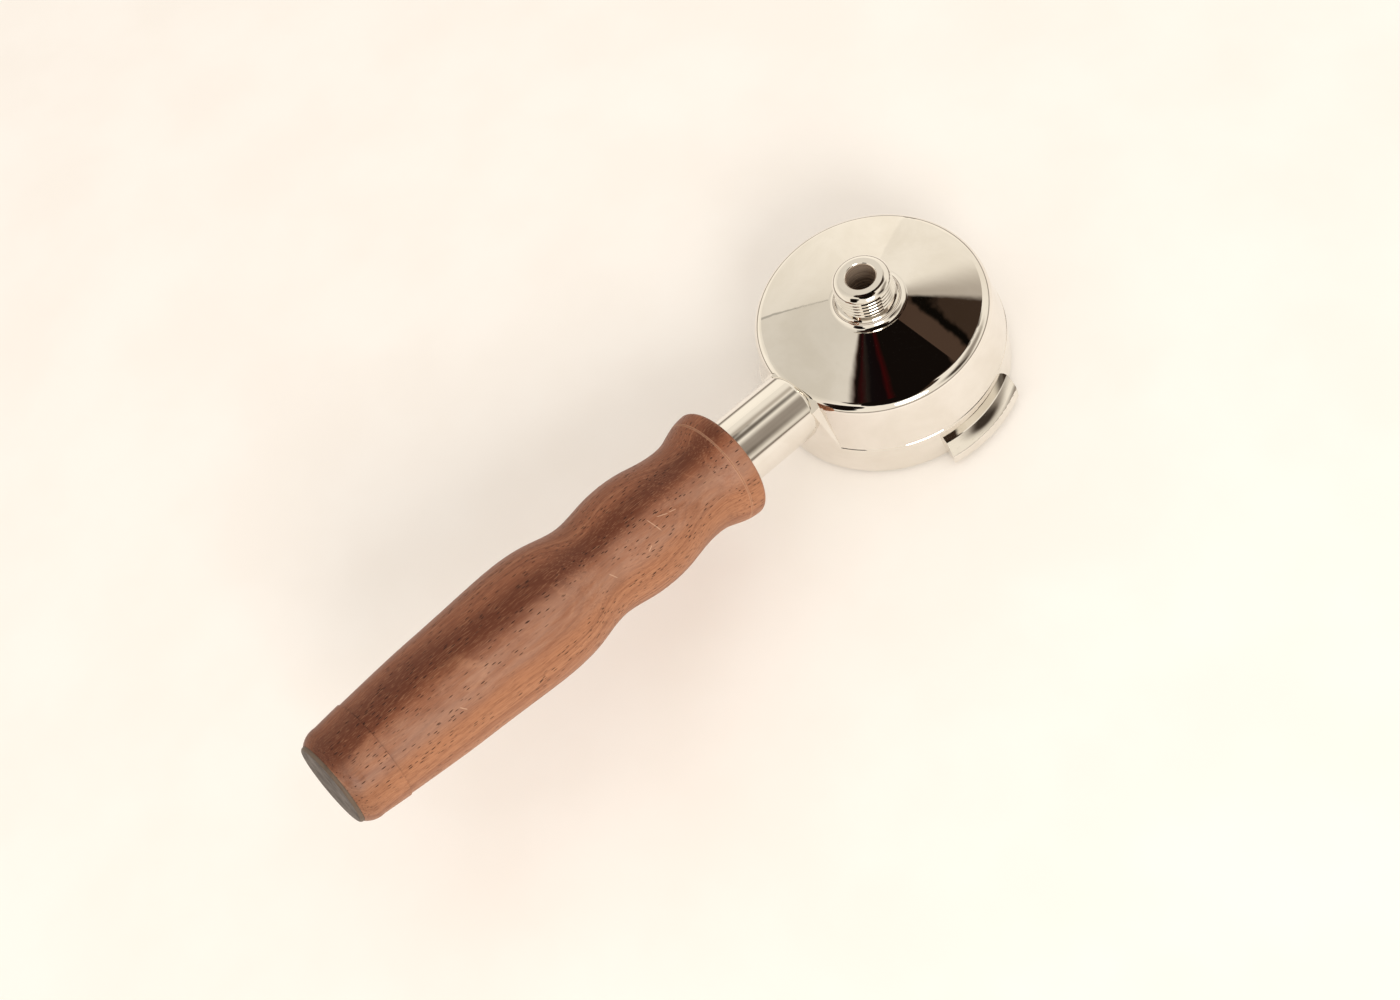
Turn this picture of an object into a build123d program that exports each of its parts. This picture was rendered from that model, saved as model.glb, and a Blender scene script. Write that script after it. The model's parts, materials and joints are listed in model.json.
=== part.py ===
"""Filter holder with its basket, basket spring and turned wooden handle, in millimetres.

The holder stands on the rim of its basket: z = 0 is the rim plane and +Z runs out
through the outlet nipple. The handle leaves along -Y, tilted up from the rim plane.
A "station" is a distance along the handle axis, measured from the nipple axis.
"""
from build123d import *
import os
from math import cos, radians, sin

os.makedirs("parts", exist_ok=True)

# ---------------------------------------------------------------- shared dimensions
# handle axis
TILT = 12.0              # degrees above the rim plane
AXIS_Z = 17.0            # height of the handle axis on the nipple axis
AXIS_DIR = (0, -cos(radians(TILT)), sin(radians(TILT)))
HANDLE_AXIS = Axis((0, 0, AXIS_Z), AXIS_DIR)
# profile plane of the handle: local x is the station, local y the radius
HANDLE_PROFILE = Plane(origin=(0, 0, AXIS_Z), x_dir=AXIS_DIR, z_dir=(-1, 0, 0))

# basket and the holder parts around it
FLANGE_T = 1.0
RIM_FACE_Z = FLANGE_T + 0.06   # underside of the holder, just above the basket flange
BORE_R = 30.3                  # chamber that takes the basket
WIRE_R = 0.70                  # basket spring
RING_Z = 7.0

# neck, grip and stud
NECK_R = 10.1
TENON_END = 78.0         # end of the neck inside the grip
STUD_R = 3.0
STUD_FROM = 63.0
STUD_TO = 193.4
STUD_FIT = 0.02          # radial clearance in the neck and the nut
GRIP_FROM = 62.0
GRIP_TO = 196.6
TENON_HOLE_END = 79.6
REAR_HOLE_R = 8.6
REAR_HOLE_FROM = 182.6
CAP_R = 11.75
STACK_GAP = 0.01         # between neighbouring pieces at the rear end

# inset of an arc's midpoint from the square corner, per unit of corner radius
ROUND_MID = 1 - cos(radians(45))


def across(station):
    """Plane square to the handle axis."""
    _, along_y, along_z = AXIS_DIR
    return Plane(
        origin=(0, along_y * station, AXIS_Z + along_z * station),
        x_dir=(1, 0, 0),
        z_dir=AXIS_DIR,
    )


def at_angle(radius, angle):
    """Point in the XY plane, angle in degrees from +X."""
    return (radius * cos(radians(angle)), radius * sin(radians(angle)))


# ---------------------------------------------------------------- bayonet lugs
LUG_R = 40.6
LUG_BOTTOM_Z = 1.6
LUG_TOP_Z = 8.3
LUG_ROOT_R = BORE_R + 3.0      # inside of the turned envelope
LUG_FROM = -20.0               # degrees, square stop end
LUG_TO = 23.0                  # degrees, rounded lead-in end
LUG_PLAN_INNER_R = 33.8
LUG_PLAN_OUTER_R = 42.0        # clear of the turned envelope
LEAD_IN_FROM = LUG_TO - 7


def make_lug_pair():
    """Two opposed lugs: a turned envelope trimmed to the lug's plan shape."""
    bottom_edge = (LUG_R - 0.7, LUG_BOTTOM_Z)
    face_bottom = (LUG_R, LUG_BOTTOM_Z + 0.75)
    face_top = (LUG_R - 0.1, LUG_BOTTOM_Z + 2.7)
    bevel_bottom = (LUG_R - 0.5, LUG_BOTTOM_Z + 3.6)
    bevel_top = (LUG_R - 3.3, LUG_TOP_Z - 0.12)
    with BuildPart() as envelope:
        with BuildSketch(Plane.XZ):
            with BuildLine():
                Polyline((LUG_ROOT_R, LUG_TOP_Z), (LUG_ROOT_R, LUG_BOTTOM_Z), bottom_edge)
                ThreePointArc(bottom_edge, (LUG_R - 0.14, LUG_BOTTOM_Z + 0.22), face_bottom)
                Line(face_bottom, face_top)
                ThreePointArc(face_top, (LUG_R - 0.22, LUG_BOTTOM_Z + 3.2), bevel_bottom)
                # broad bevel that faces up and out
                ThreePointArc(bevel_bottom, (LUG_R - 1.78, LUG_BOTTOM_Z + 5.2), bevel_top)
                Polyline(bevel_top, (LUG_R - 3.6, LUG_TOP_Z), (LUG_ROOT_R, LUG_TOP_Z))
            make_face()
        revolve(axis=Axis.Z, revolution_arc=360)

    stop_inner = at_angle(LUG_PLAN_INNER_R, LUG_FROM)
    stop_outer = at_angle(LUG_PLAN_OUTER_R, LUG_FROM)
    lead_in_outer = at_angle(LUG_PLAN_OUTER_R, LEAD_IN_FROM)
    lead_in_inner = at_angle(LUG_PLAN_INNER_R, LUG_TO)
    with BuildPart() as lugs:
        with BuildSketch(Plane.XY.offset(LUG_BOTTOM_Z - 1)):
            with BuildLine():
                Line(stop_inner, stop_outer)
                ThreePointArc(
                    stop_outer,
                    at_angle(LUG_PLAN_OUTER_R, (LUG_FROM + LEAD_IN_FROM) / 2),
                    lead_in_outer,
                )
                Spline(
                    lead_in_outer,
                    at_angle(40.4, LUG_TO - 3.6),
                    at_angle(37.6, LUG_TO - 1.0),
                    lead_in_inner,
                )
                ThreePointArc(
                    lead_in_inner,
                    at_angle(LUG_PLAN_INNER_R, (LUG_FROM + LUG_TO) / 2),
                    stop_inner,
                )
            make_face()
        extrude(amount=LUG_TOP_Z - LUG_BOTTOM_Z + 2)
        add(envelope.part, mode=Mode.INTERSECT)
        opposite_lug = Rot(0, 0, 180) * lugs.part
        add(opposite_lug)
    return lugs.part


# ---------------------------------------------------------------- root and bar of the neck
BAND_R = 36.0            # lower band that carries the bayonet lugs
BAND_TOP_Z = 13.2
WEB_INNER_R = 31.5
WEB_REACH = 45           # past the band, both along -Y and upwards
# right half of the web seen along Y: (half width, z), from the bottom up
WEB_HALF_OUTLINE = [
    (14.9, 11.5), (14.4, BAND_TOP_Z), (10.5, 26.0), (9.4, 29.2), (8.0, 30.2),
]
NECK_FROM = 34.4
NECK_ROUND = 2.0         # round on the inner end
NECK_CHAMFER = 0.6       # on the end inside the grip


def make_neck_web():
    """Band radius carried up the barrel as a tapering web under the neck."""
    left_half = [(-x, z) for x, z in reversed(WEB_HALF_OUTLINE)]
    with BuildPart() as web:
        with BuildSketch(Plane.XZ):
            with BuildLine():
                Polyline(*WEB_HALF_OUTLINE, *left_half, close=True)
            make_face()
        extrude(amount=WEB_REACH)
        with BuildSketch(Plane.XY):
            Circle(BAND_R)
            Circle(WEB_INNER_R, mode=Mode.SUBTRACT)
        extrude(amount=WEB_REACH, mode=Mode.INTERSECT)
    return web.part


def make_neck():
    """Round bar leaving the shoulder, its inner end softly rounded."""
    round_top = (NECK_FROM + NECK_ROUND, NECK_R)
    round_mid = (NECK_FROM + NECK_ROUND * ROUND_MID, NECK_R - NECK_ROUND * ROUND_MID)
    round_bottom = (NECK_FROM, NECK_R - NECK_ROUND)
    with BuildPart() as neck:
        with BuildSketch(HANDLE_PROFILE):
            with BuildLine():
                Polyline(
                    (NECK_FROM, 0),
                    (TENON_END, 0),
                    (TENON_END, NECK_R - NECK_CHAMFER),
                    (TENON_END - NECK_CHAMFER, NECK_R),
                    round_top,
                )
                ThreePointArc(round_top, round_mid, round_bottom)
                Line(round_bottom, (NECK_FROM, 0))
            make_face()
        revolve(axis=HANDLE_AXIS)
    return neck.part


# ---------------------------------------------------------------- turned body and nipple
BAND_ROUND = 0.7
BARREL_FOOT_R = 35.85    # upper tier above the band, drawn in towards the shoulder
BARREL_R = 33.8
BARREL_TOP_Z = 27.2      # where the shoulder round starts
SHOULDER_R = 31.2        # where the shallow cone starts
SHOULDER_Z = 30.75
CONE_END_R = 11.2        # where the cone meets the flare of the nipple
CONE_END_Z = 34.45
COLLAR_R = 8.95
COLLAR_TOP_Z = 36.7
COLLAR_CHAMFER = 0.3

# outlet nipple, G 3/8 pipe thread
THREAD_R = 16.66 / 2
THREAD_PITCH = 25.4 / 19
THREAD_DEPTH = 0.80
THREAD_FROM_Z = COLLAR_TOP_Z + 0.6
THREAD_RUN = 7.25        # climb of the helix, ending in the rounded tip
GROOVE_OVERSHOOT = 0.12  # cutter beyond the thread crest
GROOVE_MOUTH_HALF = 0.57
GROOVE_ROOT_HALF = 0.07
RELIEF_R = THREAD_R - 0.72     # undercut between collar and thread
NIPPLE_TOP_Z = 45.7
TIP_FROM_Z = NIPPLE_TOP_Z - 1.75
TIP_R = 6.2


def make_turned_body():
    """Solid outside form, from the rim up to the nipple tip."""
    band_round_start = (BAND_R - BAND_ROUND, RIM_FACE_Z)
    band_round_mid = (BAND_R - BAND_ROUND * ROUND_MID, RIM_FACE_Z + BAND_ROUND * ROUND_MID)
    band_round_end = (BAND_R, RIM_FACE_Z + BAND_ROUND)
    barrel_top = (BARREL_R, BARREL_TOP_Z)
    shoulder = (SHOULDER_R, SHOULDER_Z)
    cone_end = (CONE_END_R, CONE_END_Z)
    flare_end = (COLLAR_R, COLLAR_TOP_Z - COLLAR_CHAMFER)
    tip_start = (THREAD_R, TIP_FROM_Z)
    tip_end = (TIP_R, NIPPLE_TOP_Z)
    with BuildPart() as body:
        with BuildSketch(Plane.XZ):
            with BuildLine():
                Line((0, RIM_FACE_Z), band_round_start)
                ThreePointArc(band_round_start, band_round_mid, band_round_end)
                Polyline(
                    band_round_end,
                    (BAND_R, BAND_TOP_Z - 0.1),
                    (BARREL_FOOT_R, BAND_TOP_Z + 0.05),
                    barrel_top,
                )
                ThreePointArc(barrel_top, (BARREL_R - 0.86, BARREL_TOP_Z + 2.50), shoulder)
                Line(shoulder, cone_end)
                ThreePointArc(cone_end, (COLLAR_R + 0.62, CONE_END_Z + 0.68), flare_end)
                Polyline(
                    flare_end,
                    (COLLAR_R - COLLAR_CHAMFER, COLLAR_TOP_Z),
                    (RELIEF_R, COLLAR_TOP_Z + 0.25),
                    (RELIEF_R, COLLAR_TOP_Z + 0.75),
                    (THREAD_R, COLLAR_TOP_Z + 1.3),
                    tip_start,
                )
                ThreePointArc(tip_start, (THREAD_R - 0.86, NIPPLE_TOP_Z - 0.55), tip_end)
                Polyline(tip_end, (0, NIPPLE_TOP_Z), (0, RIM_FACE_Z))
            make_face()
        revolve(axis=Axis.Z)
    return body.part


def make_thread_groove():
    """Cutter for the pipe thread: one V groove along a helix."""
    with BuildPart() as groove:
        with BuildLine() as path:
            Helix(
                pitch=THREAD_PITCH,
                height=THREAD_RUN,
                radius=THREAD_R,
                center=(0, 0, THREAD_FROM_Z),
            )
        with BuildSketch(Plane(origin=path.line @ 0, x_dir=(1, 0, 0), z_dir=(0, 1, 0))):
            with BuildLine():
                Polyline(
                    (GROOVE_OVERSHOOT, -GROOVE_MOUTH_HALF),
                    (GROOVE_OVERSHOOT, GROOVE_MOUTH_HALF),
                    (-THREAD_DEPTH, GROOVE_ROOT_HALF),
                    (-THREAD_DEPTH, -GROOVE_ROOT_HALF),
                    close=True,
                )
            make_face()
        sweep(path=path.line, is_frenet=True)
    return groove.part


# ---------------------------------------------------------------- chamber and outlet bore
BORE_CHAMFER = 1.0
SPRING_GROOVE_R = 31.35
SPRING_GROOVE_HALF = WIRE_R + 0.10
FLOOR_Z = 25.8           # inside floor of the chamber
FLOOR_ROUND = 2.5
OUTLET_R = 4.2           # outlet bore through the nipple
OUTLET_CHAMFER = 0.35


def make_chamber():
    """Cutter for the basket chamber, spring groove and outlet, open at both ends."""
    wall_top = (BORE_R, FLOOR_Z - FLOOR_ROUND)
    floor_mid = (BORE_R - FLOOR_ROUND * ROUND_MID, FLOOR_Z - FLOOR_ROUND * ROUND_MID)
    floor_edge = (BORE_R - FLOOR_ROUND, FLOOR_Z)
    with BuildPart() as chamber:
        with BuildSketch(Plane.XZ):
            with BuildLine():
                Polyline(
                    (0, RIM_FACE_Z - 1),
                    (BORE_R + BORE_CHAMFER, RIM_FACE_Z - 1),
                    (BORE_R + BORE_CHAMFER, RIM_FACE_Z),
                    (BORE_R, RIM_FACE_Z + BORE_CHAMFER),
                    (BORE_R, RING_Z - SPRING_GROOVE_HALF),
                    (SPRING_GROOVE_R, RING_Z - SPRING_GROOVE_HALF),
                    (SPRING_GROOVE_R, RING_Z + SPRING_GROOVE_HALF),
                    (BORE_R, RING_Z + SPRING_GROOVE_HALF),
                    wall_top,
                )
                ThreePointArc(wall_top, floor_mid, floor_edge)
                Polyline(
                    floor_edge,
                    (OUTLET_R + 2.0, FLOOR_Z + 1.9),
                    (OUTLET_R, FLOOR_Z + 3.4),
                    (OUTLET_R, NIPPLE_TOP_Z - OUTLET_CHAMFER),
                    (OUTLET_R + OUTLET_CHAMFER, NIPPLE_TOP_Z + 0.02),
                    (OUTLET_R + OUTLET_CHAMFER, NIPPLE_TOP_Z + 1),
                    (0, NIPPLE_TOP_Z + 1),
                    (0, RIM_FACE_Z - 1),
                )
            make_face()
        revolve(axis=Axis.Z)
    return chamber.part


# ---------------------------------------------------------------- holder body
STUD_HOLE_EXTRA = 1.5    # hole depth beyond the inner end of the stud


def make_holder_body():
    turned_body = make_turned_body()
    neck_web = make_neck_web()
    lug_pair = make_lug_pair()
    neck = make_neck()
    chamber = make_chamber()
    thread_groove = make_thread_groove()
    with BuildPart() as holder:
        add(turned_body)
        add(neck_web)
        add(lug_pair)
        add(neck)
        # cut after the neck and lugs, so nothing is left inside the chamber
        add(chamber, mode=Mode.SUBTRACT)
        # plain hole for the stud in the end of the neck
        with BuildSketch(across(STUD_FROM - STUD_HOLE_EXTRA)):
            Circle(STUD_R + STUD_FIT)
        extrude(amount=TENON_END - STUD_FROM + 4, mode=Mode.SUBTRACT)
        add(thread_groove, mode=Mode.SUBTRACT)
    return holder.part


# ---------------------------------------------------------------- basket spring
RING_R = 30.47           # centre line of the wire
RING_ARC = 322           # degrees
WIRE_END_ROUND = 0.45


def make_basket_spring():
    with BuildPart() as spring:
        with BuildSketch(Plane.XZ):
            with Locations((RING_R, RING_Z)):
                Circle(WIRE_R)
        revolve(axis=Axis.Z, revolution_arc=RING_ARC)
        ends = spring.faces().filter_by(GeomType.PLANE)
        fillet(ends.edges(), radius=WIRE_END_ROUND)
    # centre the gap in the ring on -Y, towards the handle
    return Rot(0, 0, (360 - RING_ARC) / 2 - 90) * spring.part


# ---------------------------------------------------------------- filter basket
FLANGE_R = 35.0
FLANGE_ROUND = FLANGE_T / 2
SHEET = 0.8
CUP_RIM_R = 29.95        # outside of the cup under the flange
CUP_END_R = 29.0         # outside of the cup at its perforated end
CUP_RIM_INNER_R = CUP_RIM_R - SHEET
CUP_END_INNER_R = CUP_END_R - SHEET
CUP_DEPTH = 22.6
CUP_INNER_DEPTH = CUP_DEPTH - SHEET
CUP_ROUND = 2.4
HOLE_R = 0.5
HOLE_RING_STEP = 3.05    # radius added by each ring of holes
HOLE_RINGS = 8
HOLES_PER_RING_STEP = 6  # holes added by each ring


def make_filter_basket():
    flange_top = (FLANGE_R - FLANGE_ROUND, FLANGE_T)
    flange_bottom = (FLANGE_R - FLANGE_ROUND, 0)
    mouth = (CUP_RIM_INNER_R + 1.3, 0)
    inner_wall_start = (CUP_RIM_INNER_R - 0.05, 1.5)
    inner_wall_end = (CUP_END_INNER_R, CUP_DEPTH - CUP_ROUND)
    inner_floor_edge = (CUP_END_INNER_R - 1.75, CUP_INNER_DEPTH)
    outer_floor_edge = (CUP_END_R - CUP_ROUND, CUP_DEPTH)
    outer_wall_end = (CUP_END_R, CUP_DEPTH - CUP_ROUND)
    with BuildPart() as basket:
        with BuildSketch(Plane.XZ):
            with BuildLine():
                # rounded flange edge, then the inside of the cup
                ThreePointArc(flange_top, (FLANGE_R, FLANGE_T / 2), flange_bottom)
                Line(flange_bottom, mouth)
                ThreePointArc(mouth, (CUP_RIM_INNER_R + 0.35, 0.42), inner_wall_start)
                Line(inner_wall_start, inner_wall_end)
                ThreePointArc(
                    inner_wall_end,
                    (CUP_END_INNER_R - 0.5, CUP_INNER_DEPTH - 0.5),
                    inner_floor_edge,
                )
                # across the end, then back along the outside
                Polyline(
                    inner_floor_edge, (0, CUP_INNER_DEPTH), (0, CUP_DEPTH), outer_floor_edge
                )
                ThreePointArc(
                    outer_floor_edge, (CUP_END_R - 0.7, CUP_DEPTH - 0.7), outer_wall_end
                )
                Polyline(
                    outer_wall_end,
                    (CUP_RIM_R, FLANGE_T + 0.55),
                    (CUP_RIM_R + 0.45, FLANGE_T),
                    flange_top,
                )
            make_face()
        revolve(axis=Axis.Z)
        # perforated end: a centre hole and rings of small round holes
        with BuildSketch(Plane.XY.offset(CUP_INNER_DEPTH - 1)):
            Circle(HOLE_R)
            for ring in range(1, HOLE_RINGS + 1):
                with PolarLocations(HOLE_RING_STEP * ring, HOLES_PER_RING_STEP * ring):
                    Circle(HOLE_R)
        extrude(amount=SHEET + 2, mode=Mode.SUBTRACT)
    return basket.part


# ---------------------------------------------------------------- turned wooden grip
FRONT_EDGE_R = 15.6
# swelling outline between the two end rounds: (station, radius)
GRIP_OUTLINE = [
    (63.4, 16.75), (65.2, 16.62), (67.6, 16.12), (70.2, 15.2), (73.0, 14.32),
    (76.5, 13.98), (80.5, 14.22), (84.0, 14.79), (88.5, 15.65), (95.5, 16.15),
    (101.0, 15.8), (106.6, 14.9), (111.5, 14.5), (116.0, 15.12), (121.5, 16.38),
    (129.5, 17.22), (141.5, 16.88), (157.1, 16.0), (172.2, 15.1), (186.9, 14.06),
    (191.7, 13.65),
]
SCRIBE_STATION = 67.3
# V of the scribed line: (half width, radius)
SCRIBE_MOUTH = (0.9, 17.6)
SCRIBE_ROOT = (0.06, 15.93)
SOCKET_R = NECK_R + 0.05
SOCKET_CHAMFER = 0.5
ROD_HOLE_R = 3.3


def make_handle_grip():
    rear_edge = (GRIP_TO, CAP_R + 0.12)
    mouth_half, mouth_r = SCRIBE_MOUTH
    root_half, root_r = SCRIBE_ROOT
    with BuildPart() as grip:
        with BuildSketch(HANDLE_PROFILE):
            with BuildLine():
                Line((GRIP_FROM, 0), (GRIP_FROM, FRONT_EDGE_R))
                ThreePointArc((GRIP_FROM, FRONT_EDGE_R), (62.45, 16.42), GRIP_OUTLINE[0])
                Spline(*GRIP_OUTLINE, tangents=((1, -0.02), (1, -0.10)))
                ThreePointArc(GRIP_OUTLINE[-1], (195.0, 13.05), rear_edge)
                Polyline(rear_edge, (GRIP_TO, 0), (GRIP_FROM, 0))
            make_face()
        revolve(axis=HANDLE_AXIS)
        # scribed line behind the front collar
        with BuildSketch(HANDLE_PROFILE):
            with BuildLine():
                Polyline(
                    (SCRIBE_STATION - mouth_half, mouth_r),
                    (SCRIBE_STATION - root_half, root_r),
                    (SCRIBE_STATION + root_half, root_r),
                    (SCRIBE_STATION + mouth_half, mouth_r),
                    close=True,
                )
            make_face()
        revolve(axis=HANDLE_AXIS, mode=Mode.SUBTRACT)
        # stepped bore: neck socket, rod hole, rear pocket
        with BuildSketch(HANDLE_PROFILE):
            with BuildLine():
                Polyline(
                    (GRIP_FROM - 1, 0),
                    (GRIP_FROM - 1, SOCKET_R + SOCKET_CHAMFER),
                    (GRIP_FROM, SOCKET_R + SOCKET_CHAMFER),
                    (GRIP_FROM + SOCKET_CHAMFER, SOCKET_R),
                    (TENON_HOLE_END, SOCKET_R),
                    (TENON_HOLE_END, ROD_HOLE_R),
                    (REAR_HOLE_FROM, ROD_HOLE_R),
                    (REAR_HOLE_FROM, REAR_HOLE_R),
                    (GRIP_TO + 1, REAR_HOLE_R),
                    (GRIP_TO + 1, 0),
                    close=True,
                )
            make_face()
        revolve(axis=HANDLE_AXIS, mode=Mode.SUBTRACT)
    return grip.part


# ---------------------------------------------------------------- seat washer and stud
SEAT_WASHER_R = 9.6
SEAT_GAP = 0.02          # on each face of the washer
STUD_CHAMFER = 0.6


def make_seat_washer():
    """Fibre washer between neck and wood."""
    with BuildPart() as washer:
        with BuildSketch(across(TENON_END + SEAT_GAP)):
            Circle(SEAT_WASHER_R)
            Circle(STUD_R + 0.25, mode=Mode.SUBTRACT)
        extrude(amount=TENON_HOLE_END - TENON_END - 2 * SEAT_GAP)
    return washer.part


def make_handle_stud():
    """Stud through the grip, modelled without its thread."""
    with BuildPart() as stud:
        with BuildSketch(HANDLE_PROFILE):
            with BuildLine():
                Polyline(
                    (STUD_FROM, 0),
                    (STUD_FROM, STUD_R - STUD_CHAMFER),
                    (STUD_FROM + STUD_CHAMFER, STUD_R),
                    (STUD_TO - STUD_CHAMFER, STUD_R),
                    (STUD_TO, STUD_R - STUD_CHAMFER),
                    (STUD_TO, 0),
                    close=True,
                )
            make_face()
        revolve(axis=HANDLE_AXIS)
    return stud.part


# ---------------------------------------------------------------- stack in the rear pocket
FLAT_FROM = REAR_HOLE_FROM + STACK_GAP
FLAT_R = 8.3
FLAT_T = 1.6
FLAT_CHAMFER = 0.3
LOCK_FROM = FLAT_FROM + FLAT_T + STACK_GAP
LOCK_R = 5.9
LOCK_T = 1.6
NUT_FROM = LOCK_FROM + LOCK_T + STACK_GAP
NUT_T = 5.0
NUT_TO = NUT_FROM + NUT_T
NUT_ACROSS_FLATS = 10.0
NUT_FACE_R = 4.9         # radius left on each face by the turned corners
NUT_CORNER_R = 5.8
NUT_CORNER_T = 0.52      # length of the turned corners


def make_flat_washer():
    with BuildPart() as washer:
        with BuildSketch(across(FLAT_FROM)):
            Circle(FLAT_R)
            Circle(STUD_R + 0.2, mode=Mode.SUBTRACT)
        extrude(amount=FLAT_T)
        circles = washer.edges().filter_by(GeomType.CIRCLE)
        chamfer(circles.group_by(SortBy.RADIUS)[-1], length=FLAT_CHAMFER)
    return washer.part


def make_lock_washer():
    face = across(LOCK_FROM)
    with BuildPart() as washer:
        with BuildSketch(face):
            Circle(LOCK_R)
            Circle(STUD_R + 0.1, mode=Mode.SUBTRACT)
        extrude(amount=LOCK_T)
        # slanted split on the +X side
        with BuildSketch(Plane(origin=face.origin, x_dir=AXIS_DIR, z_dir=(1, 0, 0))):
            with BuildLine():
                Polyline((-1, -0.9), (3, 0.5), (3, 1.4), (-1, 0.0), close=True)
            make_face()
        extrude(amount=8, mode=Mode.SUBTRACT)
    return washer.part


def make_hex_nut():
    with BuildPart() as nut:
        with BuildSketch(across(NUT_FROM)):
            RegularPolygon(radius=NUT_ACROSS_FLATS / 2, side_count=6, major_radius=False)
            Circle(STUD_R + STUD_FIT, mode=Mode.SUBTRACT)
        extrude(amount=NUT_T)
        # corners turned off on both faces
        with BuildSketch(HANDLE_PROFILE):
            with BuildLine():
                Polyline(
                    (NUT_FROM, 0),
                    (NUT_FROM, NUT_FACE_R),
                    (NUT_FROM + NUT_CORNER_T, NUT_CORNER_R),
                    (NUT_TO - NUT_CORNER_T, NUT_CORNER_R),
                    (NUT_TO, NUT_FACE_R),
                    (NUT_TO, 0),
                    close=True,
                )
            make_face()
        revolve(axis=HANDLE_AXIS, mode=Mode.INTERSECT)
    return nut.part


# ---------------------------------------------------------------- end cap
CAP_FROM = GRIP_TO + STACK_GAP
CAP_TO = GRIP_TO + 1.0
PLUG_R = REAR_HOLE_R - 0.02
PLUG_INNER_R = 5.2
PLUG_DEPTH = 2.4


def make_end_cap():
    """Disc over the grip's end, with a ring plugged into the rear pocket."""
    plug_root = (CAP_FROM, PLUG_INNER_R)
    round_start = (CAP_TO - 0.75, CAP_R)
    round_end = (CAP_TO, CAP_R - 0.8)
    with BuildPart() as cap:
        with BuildSketch(HANDLE_PROFILE):
            with BuildLine():
                Polyline(
                    plug_root,
                    (GRIP_TO - PLUG_DEPTH, PLUG_INNER_R),
                    (GRIP_TO - PLUG_DEPTH, REAR_HOLE_R - 0.4),
                    (GRIP_TO - 2.0, PLUG_R),
                    (CAP_FROM, PLUG_R),
                    (CAP_FROM, CAP_R),
                    round_start,
                )
                ThreePointArc(round_start, (CAP_TO - 0.2, CAP_R - 0.24), round_end)
                Polyline(round_end, (CAP_TO, 0), (CAP_FROM, 0), plug_root)
            make_face()
        revolve(axis=HANDLE_AXIS)
    return cap.part


# ---------------------------------------------------------------- build and export
PIECES = {
    "holder_body": make_holder_body,
    "basket_spring": make_basket_spring,
    "filter_basket": make_filter_basket,
    "handle_grip": make_handle_grip,
    "seat_washer": make_seat_washer,
    "handle_stud": make_handle_stud,
    "flat_washer": make_flat_washer,
    "lock_washer": make_lock_washer,
    "hex_nut": make_hex_nut,
    "end_cap": make_end_cap,
}

for name, make_piece in PIECES.items():
    piece = make_piece()
    piece.label = name
    export_step(piece, f"parts/{name}.step")
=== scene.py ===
"""Looks, floor, light and camera for an espresso portafilter with a walnut handle.

The chrome head is centred on the Z axis with its outlet bore up. The handle leaves it
towards -Y, tilted up. Patterns are laid out in millimetres; placed objects are in metres.
"""

import json
import math

import bpy
from mathutils import Matrix, Vector

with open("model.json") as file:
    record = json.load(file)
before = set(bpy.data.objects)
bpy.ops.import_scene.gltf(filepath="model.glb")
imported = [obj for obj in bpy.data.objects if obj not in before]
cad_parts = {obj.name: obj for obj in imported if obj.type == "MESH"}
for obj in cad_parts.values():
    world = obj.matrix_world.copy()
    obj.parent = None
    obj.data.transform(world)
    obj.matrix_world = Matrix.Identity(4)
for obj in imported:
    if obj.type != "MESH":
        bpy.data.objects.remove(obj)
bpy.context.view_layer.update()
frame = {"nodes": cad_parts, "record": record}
scene = bpy.context.scene

# Handle axis: crosses the Z axis at AXIS_HEIGHT (mm)
TILT = math.radians(12.0)
AXIS_HEIGHT = 17.0
AXIS_ALONG = (0.0, -math.cos(TILT), math.sin(TILT))
AXIS_UP = (0.0, math.sin(TILT), math.cos(TILT))

DEGREES = 57.29578  # per radian
FADE = (1.0, 0.0)  # ramp output that falls from full to none


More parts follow.
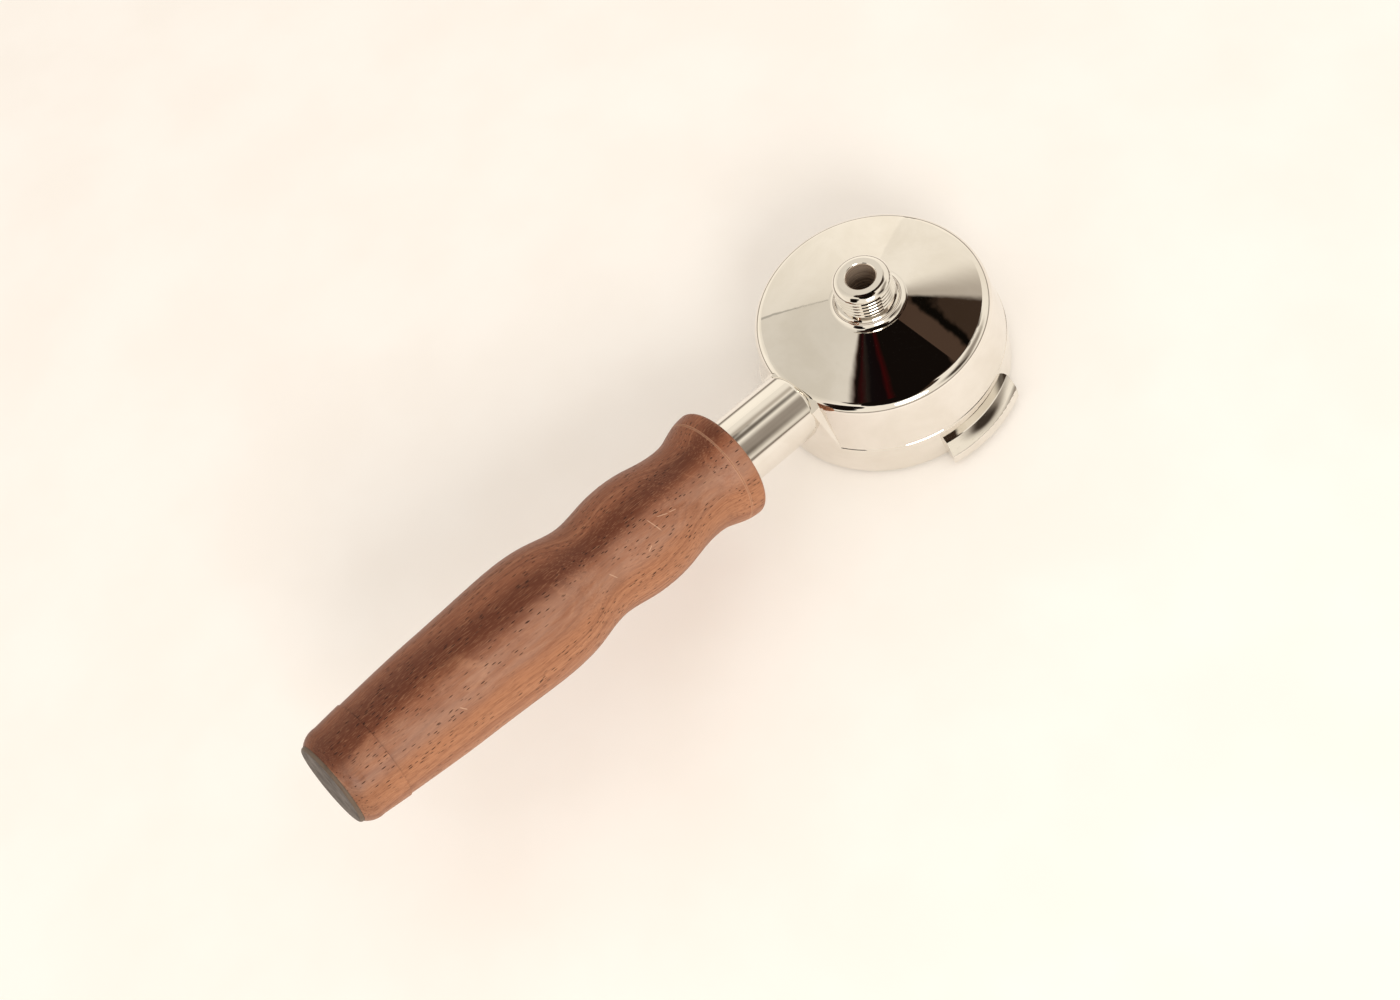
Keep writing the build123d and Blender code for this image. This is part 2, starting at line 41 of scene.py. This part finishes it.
# ---------------------------------------------------------------- node helpers
class Graph:
    """Builds a node tree; values may be numbers, tuples or sockets."""

    def __init__(self, tree):
        self.tree = tree
        tree.nodes.clear()

    def fill(self, node, inputs):
        for key, value in inputs.items():
            if isinstance(value, bpy.types.NodeSocket):
                self.tree.links.new(value, node.inputs[key])
            else:
                node.inputs[key].default_value = value

    def add(self, kind, inputs=None, **props):
        node = self.tree.nodes.new(kind)
        for key, value in props.items():
            setattr(node, key, value)
        self.fill(node, inputs or {})
        return node

    def math(self, operation, *values):
        node = self.add("ShaderNodeMath", dict(enumerate(values)), operation=operation)
        return node.outputs[0]

    def plus(self, a, b):
        return self.math("ADD", a, b)

    def minus(self, a, b):
        return self.math("SUBTRACT", a, b)

    def times(self, a, b):
        return self.math("MULTIPLY", a, b)

    def size(self, value):
        return self.math("ABSOLUTE", value)

    def radius(self, x, y):
        return self.math("SQRT", self.plus(self.times(x, x), self.times(y, y)))

    def swing(self, noise, amount):
        """Noise recentred on zero, `amount` wide."""
        return self.times(self.minus(noise, 0.5), amount)

    def vector(self, operation, *values):
        node = self.add("ShaderNodeVectorMath", dict(enumerate(values)), operation=operation)
        return node.outputs["Value" if operation in ("DOT_PRODUCT", "LENGTH") else 0]

    def dot(self, a, b):
        return self.vector("DOT_PRODUCT", a, b)

    def scaled(self, vector, scale):
        inputs = {0: vector, "Scale": scale}
        return self.add("ShaderNodeVectorMath", inputs, operation="SCALE").outputs[0]

    def split(self, vector):
        return self.add("ShaderNodeSeparateXYZ", {0: vector}).outputs

    def combine(self, *parts):
        return self.add("ShaderNodeCombineXYZ", dict(enumerate(parts))).outputs[0]

    def stretch(self, vector, by, turn=(0, 0, 0)):
        inputs = {"Vector": vector, "Rotation": turn, "Scale": by}
        return self.add("ShaderNodeMapping", inputs).outputs["Vector"]

    def ramp(self, value, over, to=(0.0, 1.0)):
        """Smooth clamped step: `over` is the input range, `to` the output range."""
        inputs = {
            "Value": value,
            "From Min": over[0],
            "From Max": over[1],
            "To Min": to[0],
            "To Max": to[1],
        }
        node = self.add(
            "ShaderNodeMapRange", inputs, interpolation_type="SMOOTHSTEP", clamp=True
        )
        return node.outputs["Result"]

    def mix(self, base, colour, mask, strength=None):
        """`colour` laid over `base` where the mask is high."""
        if strength is not None:
            mask = self.times(mask, strength)
        inputs = {0: mask, 6: base, 7: colour}
        node = self.add("ShaderNodeMix", inputs, data_type="RGBA", blend_type="MIX")
        return node.outputs[2]

    def noise(self, vector, scale=1.0, detail=3.0, rough=0.5, distort=0.0):
        inputs = {
            "Vector": vector,
            "Scale": scale,
            "Detail": detail,
            "Roughness": rough,
            "Distortion": distort,
        }
        return self.add("ShaderNodeTexNoise", inputs).outputs["Fac"]

    def glossy_ray(self):
        return self.add("ShaderNodeLightPath").outputs["Is Glossy Ray"]


class Material(Graph):
    """A material's tree, with one principled shader."""

    def __init__(self, name):
        self.material = bpy.data.materials.new(name)
        self.material.use_nodes = True
        super().__init__(self.material.node_tree)
        output = self.add("ShaderNodeOutputMaterial")
        self.shader = self.add("ShaderNodeBsdfPrincipled")
        self.fill(output, {"Surface": self.shader.outputs[0]})

    def surface(self, inputs):
        self.fill(self.shader, inputs)
        return self.material

    def object_mm(self):
        return self.scaled(self.add("ShaderNodeTexCoord").outputs["Object"], 1000.0)

    def handle_mm(self):
        """Handle coordinates: the vector, then its parts along, up and sideways."""
        place = self.vector("SUBTRACT", self.object_mm(), (0.0, 0.0, AXIS_HEIGHT))
        parts = [self.dot(place, axis) for axis in (AXIS_ALONG, AXIS_UP, (1.0, 0.0, 0.0))]
        return self.combine(*parts), *parts

    def bump(self, height, distance, strength, normal=None):
        inputs = {"Strength": strength, "Distance": distance, "Height": height}
        if normal is not None:
            inputs["Normal"] = normal
        return self.add("ShaderNodeBump", inputs).outputs[0]


def rgb(*levels):
    """Linear colour from 0-255 sRGB levels."""

    def linear(level):
        level = level / 255.0
        return level / 12.92 if level <= 0.04045 else ((level + 0.055) / 1.055) ** 2.4

    return (*map(linear, levels), 1.0)


# ---------------------------------------------------------------- metals
def chrome():
    tree = Material("chrome_plate")
    place = tree.object_mm()
    x, y, z = tree.split(place)
    radius = tree.radius(x, y)
    smudge = tree.noise(place, scale=0.055, detail=4.0, rough=0.55, distort=0.4)
    turned = tree.stretch(place, by=(1, 1, 1), turn=(0.4, 0.2, 0.9))
    fine = tree.noise(turned, scale=0.9, rough=0.6)
    colour = tree.mix(
        rgb(242, 238, 232), rgb(233, 228, 220), tree.ramp(smudge, over=(0.35, 0.7))
    )

    # Turned, dull wall of the outlet bore
    rings = tree.noise(tree.stretch(place, by=(0.02, 0.02, 1.0)), scale=2.2, rough=0.7)
    bore = tree.times(
        tree.ramp(radius, over=(4.26, 4.40), to=FADE), tree.ramp(z, over=(27.5, 28.5))
    )
    wall = tree.mix(
        rgb(204, 184, 164), rgb(136, 116, 98), tree.ramp(rings, over=(0.35, 0.7))
    )
    colour = tree.mix(colour, wall, bore)

    # Plating rubbed warmer where the lugs run in the machine's ramps
    lugs = tree.times(
        tree.ramp(radius, over=(36.6, 37.4)), tree.ramp(z, over=(8.6, 8.9), to=FADE)
    )
    streaks = tree.noise(tree.stretch(place, by=(1, 0.25, 3.0)), scale=1.6, rough=0.7)
    rub = tree.times(lugs, tree.ramp(streaks, over=(0.55, 0.75)))
    colour = tree.mix(colour, rgb(205, 190, 165), rub, strength=0.35)

    polish = tree.plus(
        tree.ramp(smudge, over=(0.42, 0.75), to=(0.012, 0.045)),
        tree.ramp(fine, over=(0.55, 0.8), to=(0.0, 0.02)),
    )
    wear = tree.plus(tree.times(rub, 0.12), tree.times(bore, 0.34))
    wave = tree.noise(place, scale=0.16, detail=2.0)
    normal = tree.bump(wave, distance=0.00002, strength=0.45)
    grooves = tree.times(tree.times(rings, bore), 4.0)
    return tree.surface({
        "Base Color": colour,
        "Metallic": tree.minus(1.0, tree.times(bore, 0.55)),
        "Roughness": tree.plus(polish, wear),
        "Normal": tree.bump(grooves, distance=0.00004, strength=0.6, normal=normal),
    })


def steel(name, tone, rough, scale, ring=False):
    """Brushed steel; `ring` runs the brush lines round the Z axis instead of along X."""
    tree = Material(name)
    place = tree.object_mm()
    if ring:
        x, y, z = tree.split(place)
        brushed = tree.combine(tree.radius(x, y), z)
    else:
        brushed = tree.stretch(place, by=(0.15, 3.0, 3.0))
    lines = tree.noise(brushed, scale=scale, detail=4.0, rough=0.7)
    cloud = tree.noise(place, scale=0.08)
    shade = (*(level * 0.82 for level in tone[:3]), 1.0)
    return tree.surface({
        "Base Color": tree.mix(tone, shade, tree.ramp(cloud, over=(0.3, 0.7))),
        "Metallic": 1.0,
        "Roughness": tree.ramp(lines, over=(0.3, 0.75), to=(rough * 0.75, rough * 1.35)),
        "Normal": tree.bump(lines, distance=0.00001, strength=0.5),
    })


# ---------------------------------------------------------------- walnut
# Short pale scratches: mm along the handle, mm of arc round it, turn (rad), half length (mm)
SCRATCHES = (
    (95.0, 14.2, 1.25, 2.6),
    (91.5, 14.9, 0.35, 1.9),
    (88.4, 14.1, 0.22, 1.3),
    (111.5, 10.4, 1.05, 1.6),
    (99.5, 10.2, -0.5, 1.0),
    (163.0, 9.2, 0.9, 1.2),
)
ARC_PER_DEGREE = 0.27  # mm on the handle's skin


def growth_layers(tree, vector, along, up, side):
    """Nearly flat sheets through the blank; returns broad bands, fine lines, their ripple."""
    drift = tree.noise(tree.stretch(vector, by=(0.016, 0.03, 0.03)), detail=2.0)
    wander = tree.swing(drift, 7.0)
    ripple = tree.swing(tree.noise(tree.stretch(vector, by=(0.04, 0.1, 0.1)), rough=0.6), 1.9)
    # Weights of up, side and along set how the sheets lean
    layer = tree.plus(
        tree.plus(tree.times(up, 0.86), tree.times(side, 0.42)),
        tree.plus(tree.plus(wander, ripple), tree.times(along, 0.055)),
    )
    sheets = tree.combine(layer, tree.times(along, 0.010))
    band = tree.noise(sheets, scale=0.23, rough=0.6)
    line = tree.noise(sheets, scale=1.25, rough=0.65)
    return band, line, ripple


def dark_streak(tree, along, angle, line, ripple):
    """One broad streak that wanders along the upper side."""
    centre = tree.plus(
        tree.plus(
            tree.ramp(along, over=(138, 172), to=(78.0, 93.0)),
            tree.ramp(along, over=(72, 104), to=(9.0, 0.0)),
        ),
        tree.times(ripple, 2.4),
    )
    offset = tree.size(tree.minus(angle, centre))
    width = tree.plus(
        tree.ramp(along, over=(110, 180), to=(12.0, 19.0)), tree.swing(line, 14.0)
    )
    return tree.ramp(tree.math("DIVIDE", offset, width), over=(0.25, 1.75), to=FADE)


def pores(tree, vector):
    inputs = {
        "Vector": tree.stretch(vector, by=(0.36, 1.9, 1.9)),
        "Scale": 0.82,
        "Randomness": 1.0,
    }
    cells = tree.add("ShaderNodeTexVoronoi", inputs, feature="F1")
    gate = tree.noise(tree.stretch(vector, by=(0.035, 0.16, 0.16)), detail=2.0)
    return tree.times(
        tree.ramp(cells.outputs["Distance"], over=(0.13, 0.27), to=FADE),
        tree.ramp(gate, over=(0.36, 0.54)),
    )


def scratches(tree, along, angle, fibre):
    arc = tree.times(angle, ARC_PER_DEGREE)
    marks = None
    for mark_along, mark_arc, turn, half in SCRATCHES:
        d_along = tree.minus(along, mark_along)
        d_arc = tree.minus(arc, mark_arc)
        cos, sin = math.cos(turn), math.sin(turn)
        length = tree.plus(tree.times(d_along, cos), tree.times(d_arc, sin))
        across = tree.minus(tree.times(d_arc, cos), tree.times(d_along, sin))
        across = tree.plus(across, tree.swing(fibre, 0.25))
        mark = tree.times(
            tree.ramp(tree.size(across), over=(0.05, 0.17), to=FADE),
            tree.ramp(tree.size(length), over=(half * 0.6, half), to=FADE),
        )
        marks = mark if marks is None else tree.math("MAXIMUM", marks, mark)
    return marks


def walnut():
    tree = Material("walnut")
    vector, along, up, side = tree.handle_mm()
    radius = tree.radius(up, side)
    # Degrees round the handle: 0 is +X, 90 is the top
    angle = tree.times(tree.math("ARCTAN2", up, side), DEGREES)
    band, line, ripple = growth_layers(tree, vector, along, up, side)
    streak = dark_streak(tree, along, angle, line, ripple)
    fibre = tree.noise(
        tree.stretch(vector, by=(0.10, 1.0, 1.0)), scale=2.3, detail=4.0, rough=0.72
    )
    hair = tree.noise(
        tree.stretch(vector, by=(0.05, 1.0, 1.0)), scale=4.6, detail=2.0, rough=0.6
    )

    # Painted light: the wood is painted lighter from the +X side downwards and darker over
    # the top and upper -X side, standing in for the key light's shading
    colour = tree.mix(rgb(139, 85, 59), rgb(170, 117, 85), tree.ramp(angle, over=(70, 5)))
    for field, over, strength, tone in (
        (band, (0.44, 0.66), 0.55, (122, 73, 51)),
        (line, (0.50, 0.72), 0.55, (108, 62, 44)),
        (line, (0.46, 0.30), 0.35, (190, 138, 104)),
    ):
        colour = tree.mix(colour, rgb(*tone), tree.ramp(field, over, to=(0.0, strength)))
    colour = tree.mix(colour, rgb(83, 41, 27), streak, strength=0.80)
    for field, over, strength, tone in (
        (fibre, (0.44, 0.70), 0.46, (92, 50, 34)),
        (hair, (0.50, 0.72), 0.30, (188, 138, 104)),
    ):
        colour = tree.mix(colour, rgb(*tone), tree.ramp(field, over, to=(0.0, strength)))

    # Painted highlight: a pale, slightly grey band about 46 degrees round from +X, patchy
    # along the grip, standing in for the satin finish's sheen
    painted_sheen = tree.ramp(tree.size(tree.minus(angle, 46.0)), over=(6.0, 27.0), to=FADE)
    patches = tree.noise(tree.stretch(vector, by=(0.05, 0.3, 0.3)), rough=0.6)
    painted_sheen = tree.times(painted_sheen, tree.ramp(patches, over=(0.30, 0.62), to=(0.25, 1.0)))
    colour = tree.mix(colour, rgb(176, 141, 121), painted_sheen, strength=0.42)

    pore = pores(tree, vector)
    colour = tree.mix(colour, rgb(48, 25, 18), pore, strength=0.90)
    marks = scratches(tree, along, angle, fibre)
    colour = tree.mix(colour, rgb(214, 176, 148), marks, strength=0.55)

    # Scribed line, cut through the oil finish to paler wood
    scribe = tree.ramp(tree.size(tree.minus(along, 67.3)), over=(0.16, 0.42), to=FADE)
    colour = tree.mix(colour, rgb(205, 160, 130), scribe, strength=0.45)

    # Polished collar rim, hand grease in the waists, darker far end
    rim = tree.times(
        tree.ramp(along, over=(64.4, 62.4)),
        tree.ramp(tree.noise(vector, scale=0.35, rough=0.6), over=(0.35, 0.65)),
    )
    colour = tree.mix(colour, rgb(176, 122, 92), rim, strength=0.30)
    grease = tree.times(
        tree.ramp(radius, over=(15.4, 14.0)),
        tree.ramp(tree.noise(vector, scale=0.12, rough=0.6), over=(0.40, 0.70)),
    )
    colour = tree.mix(colour, rgb(84, 48, 35), grease, strength=0.22)
    tail = tree.ramp(along, over=(190.0, 196.5))
    colour = tree.mix(colour, rgb(74, 42, 31), tail, strength=0.22)

    pits = tree.bump(tree.minus(1.0, pore), distance=0.00008, strength=0.7)
    return tree.surface({
        "Base Color": colour,
        "Roughness": tree.plus(
            tree.ramp(fibre, over=(0.3, 0.8), to=(0.38, 0.52)), tree.times(pore, 0.25)
        ),
        "Specular IOR Level": 0.17,
        "Coat Weight": 0.03,
        "Coat Roughness": 0.30,
        "Normal": tree.bump(fibre, distance=0.00005, strength=0.30, normal=pits),
    })


# ---------------------------------------------------------------- cap and washer
def cap_plastic():
    tree = Material("end_cap_grey")
    vector, _, up, side = tree.handle_mm()
    radius = tree.radius(up, side)
    cloud = tree.noise(vector, scale=0.25, rough=0.55)
    speck = tree.noise(vector, scale=5.0, detail=2.0, rough=0.6)
    colour = tree.mix(rgb(74, 60, 50), rgb(62, 50, 42), tree.ramp(cloud, over=(0.35, 0.7)))
    specks = tree.ramp(speck, over=(0.62, 0.75), to=(0.0, 0.5))
    colour = tree.mix(colour, rgb(92, 78, 66), specks)
    # Painted highlight: the outer bevel is painted pale, patchy with the cloud, standing in
    # for the light its edge catches
    edge = tree.times(
        tree.ramp(radius, over=(10.9, 11.5)),
        tree.ramp(cloud, over=(0.25, 0.6), to=(0.45, 1.0)),
    )
    return tree.surface({
        "Base Color": tree.mix(colour, rgb(128, 110, 93), edge, strength=0.5),
        "Roughness": tree.ramp(cloud, over=(0.3, 0.7), to=(0.42, 0.58)),
        "Specular IOR Level": 0.25,
        "Normal": tree.bump(speck, distance=0.00004, strength=0.5),
    })


def fibre_washer():
    tree = Material("fibre_washer")
    grain = tree.noise(tree.handle_mm()[0], scale=2.2, detail=4.0, rough=0.7)
    return tree.surface({
        "Base Color": tree.mix(rgb(120, 52, 34), rgb(86, 36, 26), grain),
        "Roughness": 0.8,
        "Normal": tree.bump(grain, distance=0.0001, strength=0.6),
    })


def dress_parts():
    materials = {
        "chrome": chrome(),
        "stainless": steel(
            "basket_steel", tone=rgb(214, 211, 205), rough=0.24, scale=3.5, ring=True
        ),
        "spring_wire": steel("spring_steel", tone=rgb(188, 185, 180), rough=0.22, scale=6.0),
        "zinc_steel": steel("zinc_steel", tone=rgb(196, 194, 186), rough=0.34, scale=5.0),
        "walnut": walnut(),
        "fibre": fibre_washer(),
        "cap_grey": cap_plastic(),
    }
    for row in frame["record"]["subparts"]:
        slots = frame["nodes"][row["node"]].data.materials
        slots.clear()
        slots.append(materials[row["material_slot"]])


# ---------------------------------------------------------------- floor
def floor_material():
    tree = Material("pale_floor")
    place = tree.object_mm()
    weave = tree.noise(place, scale=0.02)
    pale = tree.mix(
        rgb(252, 248, 243), rgb(249, 244, 238), tree.ramp(weave, over=(0.3, 0.7))
    )
    # Painted reflection: for mirror rays only, the floor is painted darker further from the
    # origin, so the chrome reflects a dimmer room
    reach = tree.vector("LENGTH", place)
    far = tree.times(tree.ramp(reach, over=(170.0, 620.0), to=(0.0, 0.86)), tree.glossy_ray())
    return tree.surface({
        "Base Color": tree.mix(pale, rgb(104, 88, 74), far),
        "Roughness": 0.85,
        "Specular IOR Level": 0.15,
    })


def build_floor(half=30.0):
    mesh = bpy.data.meshes.new("floor")
    corners = [(-half, -half, 0), (half, -half, 0), (half, half, 0), (-half, half, 0)]
    mesh.from_pydata(corners, [], [(0, 1, 2, 3)])
    floor = bpy.data.objects.new("floor", mesh)
    scene.collection.objects.link(floor)
    mesh.materials.append(floor_material())


# ---------------------------------------------------------------- world
# Diffuse light comes from a plain soft dome. Mirror reflections see a studio: pale walls
# with one seam, a dark figure leaning over and a dim corner.

# Discs that merge into the figure: azimuth, elevation, radius (degrees)
FIGURE_DISCS = (
    (-157.3, 71.9, 19.1), (0, 88, 17.0), (62, 69, 19.5), (6, 44, 13.0), (8, 26, 12.0),
)
# Dim corner discs: azimuth, elevation, radius, edge fade (degrees), strength, colour
CORNER_DISCS = (
    (113, 28, 15, (-8.0, 9.0), 0.93, (0.150, 0.115, 0.088, 1.0)),
    (111, 27, 10, (-4.0, 4.0), 0.9, (0.034, 0.024, 0.017, 1.0)),
    (137, 37, 13, (-8.0, 9.0), 0.92, (0.30, 0.255, 0.21, 1.0)),
)
# Stripes of the clothing's lining: position across it, linear colour
LINING_STRIPES = (
    (0.000, (0.020, 0.012, 0.008)),
    (0.040, (0.075, 0.038, 0.023)),
    (0.120, (0.045, 0.020, 0.013)),
    (0.165, (0.006, 0.004, 0.003)),
    (0.215, (0.026, 0.004, 0.004)),
    (0.260, (0.020, 0.014, 0.011)),
    (0.330, (0.006, 0.004, 0.004)),
    (0.500, (0.006, 0.003, 0.003)),
    (0.570, (0.036, 0.003, 0.003)),
    (0.680, (0.006, 0.004, 0.003)),
)


def direction(azimuth, elevation):
    """Unit vector from degrees; azimuth 0 is -Y, 90 is +X."""
    a, e = math.radians(azimuth), math.radians(elevation)
    return (math.sin(a) * math.cos(e), -math.cos(a) * math.cos(e), math.sin(e))


def degrees_from(tree, ray, azimuth, elevation):
    cosine = tree.dot(ray, direction(azimuth, elevation))
    return tree.times(tree.math("ARCCOSINE", cosine), DEGREES)


def outside(tree, ray, azimuth, elevation, radius):
    """Degrees beyond the edge of a disc, negative inside it."""
    return tree.minus(degrees_from(tree, ray, azimuth, elevation), radius)


def pale_walls(tree, ray, x, z):
    # Brighter low down and towards +X
    light = tree.math("MULTIPLY_ADD", z, -0.94, 1.90)
    light = tree.plus(light, tree.times(x, 0.62))
    light = tree.math("MINIMUM", tree.math("MAXIMUM", light, 0.60), 1.03)
    # A wavering seam, with a dark crack on its -X part
    waver = tree.noise(tree.scaled(ray, 9.0), detail=2.0)
    seam = tree.plus(tree.dot(ray, (0.6732, 0.0185, 0.7393)), tree.swing(waver, 0.05))
    light = tree.times(light, tree.ramp(seam, over=(-0.004, 0.004), to=(1.05, 0.95)))
    crack = tree.times(
        tree.ramp(tree.size(seam), over=(0.0015, 0.0050), to=FADE),
        tree.ramp(x, over=(-0.60, -0.69)),
    )
    light = tree.times(light, tree.minus(1.0, tree.times(crack, 0.42)))
    return tree.scaled((1.0, 0.925, 0.80), light)


def surroundings(tree, ray, x, z):
    sky = pale_walls(tree, ray, x, z)
    # The wall darkens towards the figure
    near = tree.ramp(degrees_from(tree, ray, -157, 53), over=(2.0, 11.0), to=(0.62, 0.0))
    sky = tree.mix(sky, (0.22, 0.165, 0.12, 1.0), near)
    near = tree.ramp(outside(tree, ray, 172, 57, 7), over=(-4.0, 4.5), to=(0.9, 0.0))
    sky = tree.mix(sky, (0.075, 0.055, 0.040, 1.0), near)
    # The room beyond the floor, low on the horizon
    low = tree.ramp(z, over=(0.02, 0.16), to=(0.80, 0.0))
    sky = tree.mix(sky, (0.16, 0.125, 0.098, 1.0), low)
    for *disc, fade, strength, colour in CORNER_DISCS:
        mask = tree.ramp(outside(tree, ray, *disc), over=fade, to=(strength, 0.0))
        sky = tree.mix(sky, colour, mask)
    return sky


def clothing(tree, ray, x):
    # Brown panel with a dark fold
    panel = tree.dot(ray, (0.5149, 0.8271, -0.2253))
    fold = tree.dot(ray, (0.7869, 0.5950, -0.1637))
    cloth = tree.mix(
        (0.074, 0.044, 0.029, 1.0),
        (0.046, 0.028, 0.018, 1.0),
        tree.ramp(fold, over=(-0.012, 0.012)),
    )
    in_panel = tree.ramp(panel, over=(-0.006, 0.006))
    figure = tree.mix((0.006, 0.004, 0.003, 1.0), cloth, in_panel)
    crease = tree.times(
        tree.ramp(tree.size(fold), over=(0.003, 0.011), to=FADE),
        tree.ramp(panel, over=(0.0, 0.02)),
    )
    figure = tree.mix(figure, (0.004, 0.003, 0.002, 1.0), crease)
    # Frayed, striped red lining
    fray = tree.noise(tree.scaled(ray, 26.0), detail=2.0)
    lining = tree.plus(tree.dot(ray, (0.4179, 0.8976, 0.1406)), tree.swing(fray, 0.035))
    stripes = tree.add("ShaderNodeValToRGB", {0: tree.times(lining, 4.0)})
    elements = stripes.color_ramp.elements
    while len(elements) < len(LINING_STRIPES):
        elements.new(0.5)
    for element, (position, colour) in zip(elements, LINING_STRIPES):
        element.position = position
        element.color = (*colour, 1.0)
    in_lining = tree.times(
        tree.ramp(lining, over=(0.19, 0.205), to=FADE), tree.ramp(x, over=(0.02, -0.06))
    )
    return tree.mix(figure, stripes.outputs[0], in_lining)


def build_world():
    world = bpy.data.worlds.new("studio")
    scene.world = world
    world.use_nodes = True
    tree = Graph(world.node_tree)
    output = tree.add("ShaderNodeOutputWorld")
    background = tree.add("ShaderNodeBackground")
    tree.fill(output, {"Surface": background.outputs[0]})
    generated = tree.add("ShaderNodeTexCoord").outputs["Generated"]
    ray = tree.vector("NORMALIZE", generated)
    x, _, z = tree.split(ray)

    sky = surroundings(tree, ray, x, z)
    edge = outside(tree, ray, *FIGURE_DISCS[0])
    for disc in FIGURE_DISCS[1:]:
        edge = tree.math("MINIMUM", edge, outside(tree, ray, *disc))
    in_figure = tree.ramp(edge, over=(-0.9, 0.9), to=FADE)
    studio = tree.mix(sky, clothing(tree, ray, x), in_figure)
    dome = tree.scaled((0.985, 0.928, 0.858), tree.math("MULTIPLY_ADD", z, -0.10, 1.0))
    seen = tree.mix(dome, studio, tree.glossy_ray())
    tree.fill(background, {"Color": seen, "Strength": 1.0})


# ---------------------------------------------------------------- light and camera
def build_key_light(distance=1.6):
    light = bpy.data.lights.new("key", "AREA")
    light.shape = "DISK"
    light.size = 0.72
    light.energy = 10.5
    light.color = (1.0, 0.975, 0.93)
    key = bpy.data.objects.new("key", light)
    place = Vector(direction(azimuth=66, elevation=30)) * distance
    key.location = place
    key.rotation_euler = (-place).to_track_quat("-Z", "Y").to_euler()
    scene.collection.objects.link(key)


# Camera place and its own axes
CAMERA_PLACE = (0.248065, -0.167093, 0.437941)
CAMERA_RIGHT = (0.68831947, 0.67813778, -0.25757612)
CAMERA_UP = (-0.52041411, 0.70899429, 0.47591622)
CAMERA_BACK = (0.50535676, -0.19353615, 0.84092705)


def build_camera():
    lens = bpy.data.cameras.new("camera")
    lens.sensor_width = 36.0
    lens.lens = 46.072
    lens.clip_start = 0.01
    camera = bpy.data.objects.new("camera", lens)
    pose = Matrix((CAMERA_RIGHT, CAMERA_UP, CAMERA_BACK)).transposed().to_4x4()
    pose.translation = CAMERA_PLACE
    camera.matrix_world = pose
    scene.collection.objects.link(camera)
    scene.camera = camera


dress_parts()
build_floor()
build_world()
build_key_light()
build_camera()

scene.view_settings.view_transform = "Standard"
scene.view_settings.look = "None"
scene.view_settings.exposure = 0.0
scene.view_settings.gamma = 1.0
